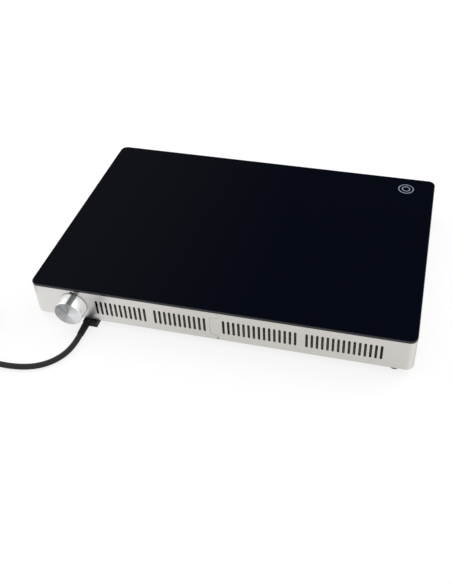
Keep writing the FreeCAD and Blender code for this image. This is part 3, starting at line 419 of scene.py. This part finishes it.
def plainMetal(name, colour, **changes):
    # Sheet, rod or plated metal with a spangle and a fine tooth.
    look = {"metal": 1.0, "rough": 0.35, "roughSpread": 0.15, "spangle": 60.0, "finer": 20,
            "dark": 0.88, "bump": 0.15, "depth": 0.00002, **changes}
    finish = Finish(name, metal=look["metal"])
    place = finish.coordinates()
    spangle = finish.noise(place, look["spangle"], 3.0)
    tooth = finish.noise(place, look["spangle"] * look["finer"])
    shade = finish.blend(spangle, shaded(colour, look["dark"]), colour)
    return finish.set(colour=shade, rough=look["rough"] + (spangle - 0.5) * look["roughSpread"],
                      normal=finish.bump(tooth, look["bump"], look["depth"]))


def fibreMat():
    # Pale mineral wool with loose tufts.
    look = {"tuft": 220.0, "dark": (0.66, 0.64, 0.58), "pale": (0.86, 0.85, 0.81),
            "rough": 0.95, "bump": 0.6, "depth": 0.0006}
    finish = Finish("fibreMat", rough=look["rough"])
    tuft = finish.noise(finish.coordinates(), look["tuft"], 4.0, 0.7)
    return finish.set(colour=finish.blend(tuft, look["dark"], look["pale"]),
                      normal=finish.bump(tuft, look["bump"], look["depth"]))


knobLow, knobHigh = [np.array(corner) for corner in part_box("knob_cap")]
finishes = {
    "black_glass": blackGlass(),
    "silicone": moulded("siliconeBead", (0.02, 0.02, 0.02), rough=0.5),
    "band_steel": brushedSteel(),
    "galvanised": plainMetal("galvanisedSheet", (0.66, 0.62, 0.58), rough=0.55, metal=0.2),
    "sheet_aluminium": plainMetal("millAluminium", (0.70, 0.70, 0.71), spangle=25.0),
    "knob_aluminium": turnedAluminium((knobLow + knobHigh) / 2, knobLow[1]),
    "element_sheath": plainMetal("heatedSheath", (0.20, 0.18, 0.17), rough=0.5),
    "ceramic_mat": fibreMat(),
    "bright_screw": plainMetal("zincScrew", (0.66, 0.66, 0.64), rough=0.28, spangle=200.0),
    "foot_rubber": moulded("footRubber", (0.018, 0.018, 0.02), rough=0.7, grain=900.0),
    "black_moulding": moulded("blackMoulding", (0.007, 0.0075, 0.010), rough=0.5,
                              specular=0.15),
    "white_moulding": moulded("whiteMoulding", (0.74, 0.72, 0.66), rough=0.5),
    "brass": plainMetal("plainBrass", (0.72, 0.52, 0.24), rough=0.3, spangle=90.0),
    "lens": moulded("smokedLens", (0.02, 0.012, 0.012), rough=0.15, grain=400.0,
                    depth=0.00001),
    "cord_sheath": moulded("cordSheath", (0.012, 0.0125, 0.015), rough=0.6, grain=1200.0,
                           depth=0.00006, specular=0.25),
    "wire_sheath": moulded("wireSheath", (0.45, 0.40, 0.32), rough=0.5),
    "pin_metal": plainMetal("nickelPin", (0.70, 0.67, 0.60), rough=0.22, spangle=120.0),
}
# Painted shade: the seam strap is dark grey so that the slit in the band over it looks shaded.
seamShadowSteel = plainMetal("seamShadowSheet", (0.10, 0.10, 0.10), rough=0.6)
slotOf = {part["node"]: part["material_slot"] for part in frame["record"]["subparts"]}
for label, node in nodes.items():
    node.data.materials.clear()
    node.data.materials.append(seamShadowSteel if label == "seam_strap" else finishes[slotOf[label]])
print("finishes set on", len(nodes), "nodes")

# Smooth copies of the nodes whose round corners show, with the angle in degrees from which an
# edge stays sharp
smoothRows = {
    "side_band": 25.0,
    "glass_top": 20.0,
    "knob_cap": 25.0,
    "cord_gland": 25.0,
    "strain_relief": 30.0,
    "mains_plug": 30.0,
    "plug_pins": 30.0,
    "foot_front_left": 30.0,
    "foot_front_right": 30.0,
    "foot_back_left": 30.0,
    "foot_back_right": 30.0,
    "lamp_lens": 40.0,
}
weldDistance = 1e-6


def smoothCopy(label, angle):
    mesh = nodes[label].data.copy()
    work = bmesh.new()
    work.from_mesh(mesh)
    bmesh.ops.remove_doubles(work, verts=work.verts, dist=weldDistance)
    for face in work.faces:
        face.smooth = True
    for edge in work.edges:
        folded = edge.calc_face_angle(0) if len(edge.link_faces) == 2 else math.pi
        edge.smooth = folded < math.radians(angle)
    work.to_mesh(mesh)
    work.free()
    if "custom_normal" in mesh.attributes:
        mesh.attributes.remove(mesh.attributes["custom_normal"])
    slot = slotOf[label]
    piece = addPiece(label + "_skin", mesh, finishes[slot], nodes[label]["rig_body"])
    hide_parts(label)
    return piece


smooth = {label: smoothCopy(label, angle) for label, angle in smoothRows.items()}
print("smooth copies made")

# Printed mark on the glass: two plain rings of pale grey ink, by outer and inner radius
markRows = {"place": (0.2222, 0.1612), "rings": ((0.0122, 0.0106), (0.0066, 0.0050)),
            "lift": 0.00004, "sides": 96, "circles": 3, "colour": (0.24, 0.28, 0.34),
            "thin": 0.7, "grain": 900.0, "rough": 0.45}


def printedRing(name, outer, inner):
    # Each row is a circle, and the rows run from the inner edge of the ink to the outer one.
    turn = np.linspace(0, 2 * np.pi, markRows["sides"], endpoint=False)
    reach = np.linspace(inner, outer, markRows["circles"])
    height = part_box("glass_top")[1][2] + markRows["lift"]
    x = markRows["place"][0] + reach[:, None] * np.cos(turn)
    y = markRows["place"][1] + reach[:, None] * np.sin(turn)
    mesh = gridMesh(name, np.dstack([x, y, np.full_like(x, height)]), closed=True)
    mesh.flip_normals()        # so that the faces point up
    return addPiece(name, mesh, markInk, "housing")


def greyInk():
    # Ink that is thinner in places.
    finish = Finish("greyInk", rough=markRows["rough"])
    grain = finish.noise(finish.coordinates(), markRows["grain"], 3.0)
    thin = shaded(markRows["colour"], markRows["thin"])
    return finish.set(colour=finish.blend(grain, thin, markRows["colour"]))


markInk = greyInk()
for number, (outer, inner) in enumerate(markRows["rings"]):
    printedRing(f"glass_mark_{number}", outer, inner)
print("glass mark printed")

# Mains cord: one spline through the free stretch and the coil, to the plug
cordRows = {"radius": 0.004, "sides": 6, "turns": 4.25, "tail": 0.036, "tailMiddle": 0.4,
            "lift": 0.00025, "outer": 0.053, "pitch": 0.0088, "centre": (-0.373, -0.21085),
            "perTurn": 16, "straight": 0.008, "climb": 0.5, "nudge": 1e-4, "steps": 8}
cordPoints = [
    (-0.18925, -0.1965, 0.0052),
    (-0.18925, -0.2165, 0.0052),
    (-0.19675, -0.2393, 0.0048),
    (-0.21285, -0.2571, 0.0044),
    (-0.23565, -0.2673, 0.0040),
    (-0.26945, -0.2709, 0.0040),
    (-0.31115, -0.2658, 0.0040),
    (-0.33901, -0.26474, 0.00425),
]


def coilLine(turns):
    # It winds in on the floor, climbs a layer while it turns back, and winds out on top. The
    # radius falls by one pitch a turn, keeps nearly still during the climb, and grows again.
    total, climb = cordRows["turns"], cordRows["climb"]
    inner = (total - climb) / 2
    pitch = cordRows["pitch"]
    low = cordRows["radius"] + cordRows["lift"]
    outer = cordRows["outer"]
    share = np.clip((turns - inner) / climb, 0, 1)
    turned = outer - pitch * (inner + climb * share * (1 - share))
    winding = np.where(turns < inner + climb, turned, outer - pitch * (total - turns))
    radius = np.where(turns <= inner, outer - pitch * turns, winding)
    height = low + pitch * (share - np.sin(2 * np.pi * share) / (2 * np.pi))
    angle = -np.pi / 2 - 2 * np.pi * turns
    x = cordRows["centre"][0] + radius * np.cos(angle)
    y = cordRows["centre"][1] + radius * np.sin(angle)
    return np.stack([x, y, height], axis=1)


def coilPoints():
    # Control points lie outside the turns, so that the spline itself keeps their radius.
    step = 1 / cordRows["perTurn"]
    points = coilLine(np.arange(step / 2, cordRows["turns"], step))
    centre = np.array(cordRows["centre"])
    reach = 2 / (1 + math.cos(2 * math.pi * step))
    points[:, :2] = centre + (points[:, :2] - centre) * reach
    return points


def makeCord():
    total = cordRows["turns"]
    start, nearEnd, end = coilLine(np.array([0.0, total - cordRows["nudge"], total]))
    tail = (end - nearEnd) / np.linalg.norm(end - nearEnd) * cordRows["tail"]
    route = np.vstack([cordPoints, start + (cordRows["straight"], 0, 0), coilPoints(),
                       end + tail * cordRows["tailMiddle"], end + tail])
    curve = bpy.data.curves.new("mains_cord_line", "CURVE")
    curve.dimensions = "3D"
    spline = curve.splines.new("NURBS")
    spline.points.add(len(route) - 1)
    spline.points.foreach_set("co", np.column_stack([route, np.ones(len(route))]).ravel())
    spline.order_u = 3
    spline.use_endpoint_u = True
    spline.resolution_u = cordRows["steps"]
    curve.bevel_depth = cordRows["radius"]
    curve.bevel_resolution = cordRows["sides"]
    curve.use_fill_caps = True
    cord = bpy.data.objects.new("mains_lead", curve)
    scene.collection.objects.link(cord)
    curve.materials.append(finishes["cord_sheath"])
    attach(cord, "housing")
    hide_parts("mains_cord", "cord_coil")


makeCord()
print("cord laid")
